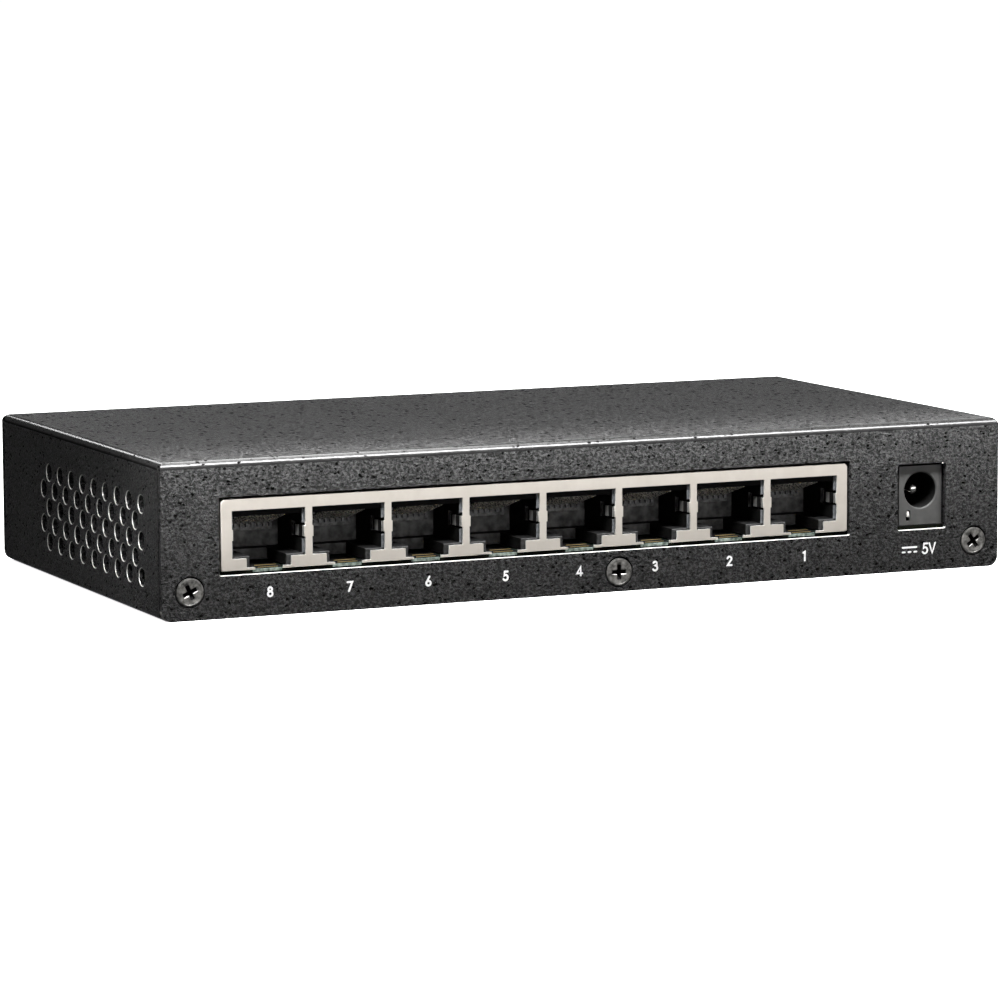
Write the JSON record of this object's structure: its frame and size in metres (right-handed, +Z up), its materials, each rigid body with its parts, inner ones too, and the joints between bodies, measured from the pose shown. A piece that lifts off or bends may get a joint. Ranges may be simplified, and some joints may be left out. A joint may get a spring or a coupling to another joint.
{
  "type": "desktop network switch",
  "caption": "Small desktop network switch in a folded dark sheet-metal case, with a row of modular jacks, a round power inlet and vented sides.",
  "frame": {"origin": "middle of the underside, on the surface the switch stands on", "axes": "+X along the row of ports, from port 8 towards port 1; -Y out of the ports; +Z up"},
  "size_m": [0.1544, 0.083, 0.026],
  "materials": {
    "coated_steel": "satin dark grey hammered coating",
    "plated_steel": "zinc-plated sheet",
    "nickel": "satin nickel plate",
    "screw_steel": "dark nickel plate",
    "black_plastic": "moulded",
    "jack_plastic": "moulded",
    "gold": "gold flash on spring wire",
    "circuit_board": "green solder mask",
    "chip_plastic": "moulded epoxy",
    "thermal_pad": "soft silicone",
    "aluminium": "extruded",
    "can": "drawn can",
    "ferrite": "sintered",
    "clear_plastic": "clear moulded"
  },
  "bodies": {
    "root": {"top_cover": "coated_steel", "base_plate": "plated_steel", "case_screw_left": "screw_steel", "case_screw_centre": "screw_steel", "case_screw_right": "screw_steel", "circuit_board": "circuit_board", "board_screw_1": "screw_steel", "board_screw_2": "screw_steel", "board_screw_3": "screw_steel", "board_screw_4": "screw_steel", "jack_shield": "nickel", "jack_housing": "jack_plastic", "magnetics_1": "chip_plastic", "magnetics_2": "chip_plastic", "magnetics_3": "chip_plastic", "magnetics_4": "chip_plastic", "switch_chip": "chip_plastic", "thermal_pad": "thermal_pad", "heat_sink": "aluminium", "flash_chip": "chip_plastic", "regulator": "chip_plastic", "crystal": "can", "inductor": "ferrite", "capacitor_1": "can", "capacitor_2": "can", "dc_jack_housing": "black_plastic", "dc_jack_pin": "nickel", "light_pipe": "clear_plastic"},
    "contacts_8": {"contacts_8": "gold"},
    "ground_finger_8_left": {"ground_finger_8_left": "nickel"},
    "ground_finger_8_right": {"ground_finger_8_right": "nickel"},
    "contacts_7": {"contacts_7": "gold"},
    "ground_finger_7_left": {"ground_finger_7_left": "nickel"},
    "ground_finger_7_right": {"ground_finger_7_right": "nickel"},
    "contacts_6": {"contacts_6": "gold"},
    "ground_finger_6_left": {"ground_finger_6_left": "nickel"},
    "ground_finger_6_right": {"ground_finger_6_right": "nickel"},
    "contacts_5": {"contacts_5": "gold"},
    "ground_finger_5_left": {"ground_finger_5_left": "nickel"},
    "ground_finger_5_right": {"ground_finger_5_right": "nickel"},
    "contacts_4": {"contacts_4": "gold"},
    "ground_finger_4_left": {"ground_finger_4_left": "nickel"},
    "ground_finger_4_right": {"ground_finger_4_right": "nickel"},
    "contacts_3": {"contacts_3": "gold"},
    "ground_finger_3_left": {"ground_finger_3_left": "nickel"},
    "ground_finger_3_right": {"ground_finger_3_right": "nickel"},
    "contacts_2": {"contacts_2": "gold"},
    "ground_finger_2_left": {"ground_finger_2_left": "nickel"},
    "ground_finger_2_right": {"ground_finger_2_right": "nickel"},
    "contacts_1": {"contacts_1": "gold"},
    "ground_finger_1_left": {"ground_finger_1_left": "nickel"},
    "ground_finger_1_right": {"ground_finger_1_right": "nickel"},
    "dc_jack_spring": {"dc_jack_spring": "nickel"}
  },
  "joints": [
    {"name": "contacts_8_lift", "type": "hinge", "parent": "root", "child": "contacts_8", "pos_m": [-0.0585, -0.0391, 0.0165], "axis": [1, 0, 0], "range_deg": [0, 12], "stiffness_Nm_per_rad": 0.1},
    {"name": "ground_finger_8_left_bend", "type": "hinge", "parent": "root", "child": "ground_finger_8_left", "pos_m": [-0.06465, -0.0406, 0.0135], "axis": [0, 0, 1], "range_deg": [0, 6], "stiffness_Nm_per_rad": 0.02},
    {"name": "ground_finger_8_right_bend", "type": "hinge", "parent": "root", "child": "ground_finger_8_right", "pos_m": [-0.05235, -0.0406, 0.0135], "axis": [0, 0, -1], "range_deg": [0, 6], "stiffness_Nm_per_rad": 0.02},
    {"name": "contacts_7_lift", "type": "hinge", "parent": "root", "child": "contacts_7", "pos_m": [-0.04453, -0.0391, 0.0165], "axis": [1, 0, 0], "range_deg": [0, 12], "stiffness_Nm_per_rad": 0.1},
    {"name": "ground_finger_7_left_bend", "type": "hinge", "parent": "root", "child": "ground_finger_7_left", "pos_m": [-0.05068, -0.0406, 0.0135], "axis": [0, 0, 1], "range_deg": [0, 6], "stiffness_Nm_per_rad": 0.02},
    {"name": "ground_finger_7_right_bend", "type": "hinge", "parent": "root", "child": "ground_finger_7_right", "pos_m": [-0.03838, -0.0406, 0.0135], "axis": [0, 0, -1], "range_deg": [0, 6], "stiffness_Nm_per_rad": 0.02},
    {"name": "contacts_6_lift", "type": "hinge", "parent": "root", "child": "contacts_6", "pos_m": [-0.03056, -0.0391, 0.0165], "axis": [1, 0, 0], "range_deg": [0, 12], "stiffness_Nm_per_rad": 0.1},
    {"name": "ground_finger_6_left_bend", "type": "hinge", "parent": "root", "child": "ground_finger_6_left", "pos_m": [-0.03671, -0.0406, 0.0135], "axis": [0, 0, 1], "range_deg": [0, 6], "stiffness_Nm_per_rad": 0.02},
    {"name": "ground_finger_6_right_bend", "type": "hinge", "parent": "root", "child": "ground_finger_6_right", "pos_m": [-0.02441, -0.0406, 0.0135], "axis": [0, 0, -1], "range_deg": [0, 6], "stiffness_Nm_per_rad": 0.02},
    {"name": "contacts_5_lift", "type": "hinge", "parent": "root", "child": "contacts_5", "pos_m": [-0.01659, -0.0391, 0.0165], "axis": [1, 0, 0], "range_deg": [0, 12], "stiffness_Nm_per_rad": 0.1},
    {"name": "ground_finger_5_left_bend", "type": "hinge", "parent": "root", "child": "ground_finger_5_left", "pos_m": [-0.02274, -0.0406, 0.0135], "axis": [0, 0, 1], "range_deg": [0, 6], "stiffness_Nm_per_rad": 0.02},
    {"name": "ground_finger_5_right_bend", "type": "hinge", "parent": "root", "child": "ground_finger_5_right", "pos_m": [-0.01044, -0.0406, 0.0135], "axis": [0, 0, -1], "range_deg": [0, 6], "stiffness_Nm_per_rad": 0.02},
    {"name": "contacts_4_lift", "type": "hinge", "parent": "root", "child": "contacts_4", "pos_m": [-0.00262, -0.0391, 0.0165], "axis": [1, 0, 0], "range_deg": [0, 12], "stiffness_Nm_per_rad": 0.1},
    {"name": "ground_finger_4_left_bend", "type": "hinge", "parent": "root", "child": "ground_finger_4_left", "pos_m": [-0.00877, -0.0406, 0.0135], "axis": [0, 0, 1], "range_deg": [0, 6], "stiffness_Nm_per_rad": 0.02},
    {"name": "ground_finger_4_right_bend", "type": "hinge", "parent": "root", "child": "ground_finger_4_right", "pos_m": [0.00353, -0.0406, 0.0135], "axis": [0, 0, -1], "range_deg": [0, 6], "stiffness_Nm_per_rad": 0.02},
    {"name": "contacts_3_lift", "type": "hinge", "parent": "root", "child": "contacts_3", "pos_m": [0.01135, -0.0391, 0.0165], "axis": [1, 0, 0], "range_deg": [0, 12], "stiffness_Nm_per_rad": 0.1},
    {"name": "ground_finger_3_left_bend", "type": "hinge", "parent": "root", "child": "ground_finger_3_left", "pos_m": [0.0052, -0.0406, 0.0135], "axis": [0, 0, 1], "range_deg": [0, 6], "stiffness_Nm_per_rad": 0.02},
    {"name": "ground_finger_3_right_bend", "type": "hinge", "parent": "root", "child": "ground_finger_3_right", "pos_m": [0.0175, -0.0406, 0.0135], "axis": [0, 0, -1], "range_deg": [0, 6], "stiffness_Nm_per_rad": 0.02},
    {"name": "contacts_2_lift", "type": "hinge", "parent": "root", "child": "contacts_2", "pos_m": [0.02532, -0.0391, 0.0165], "axis": [1, 0, 0], "range_deg": [0, 12], "stiffness_Nm_per_rad": 0.1},
    {"name": "ground_finger_2_left_bend", "type": "hinge", "parent": "root", "child": "ground_finger_2_left", "pos_m": [0.01917, -0.0406, 0.0135], "axis": [0, 0, 1], "range_deg": [0, 6], "stiffness_Nm_per_rad": 0.02},
    {"name": "ground_finger_2_right_bend", "type": "hinge", "parent": "root", "child": "ground_finger_2_right", "pos_m": [0.03147, -0.0406, 0.0135], "axis": [0, 0, -1], "range_deg": [0, 6], "stiffness_Nm_per_rad": 0.02},
    {"name": "contacts_1_lift", "type": "hinge", "parent": "root", "child": "contacts_1", "pos_m": [0.03929, -0.0391, 0.0165], "axis": [1, 0, 0], "range_deg": [0, 12], "stiffness_Nm_per_rad": 0.1},
    {"name": "ground_finger_1_left_bend", "type": "hinge", "parent": "root", "child": "ground_finger_1_left", "pos_m": [0.03314, -0.0406, 0.0135], "axis": [0, 0, 1], "range_deg": [0, 6], "stiffness_Nm_per_rad": 0.02},
    {"name": "ground_finger_1_right_bend", "type": "hinge", "parent": "root", "child": "ground_finger_1_right", "pos_m": [0.04544, -0.0406, 0.0135], "axis": [0, 0, -1], "range_deg": [0, 6], "stiffness_Nm_per_rad": 0.02},
    {"name": "dc_jack_spring_bend", "type": "hinge", "parent": "root", "child": "dc_jack_spring", "pos_m": [0.06015, -0.0295, 0.0104], "axis": [1, 0, 0], "range_deg": [0, 3], "stiffness_Nm_per_rad": 0.05}
  ]
}
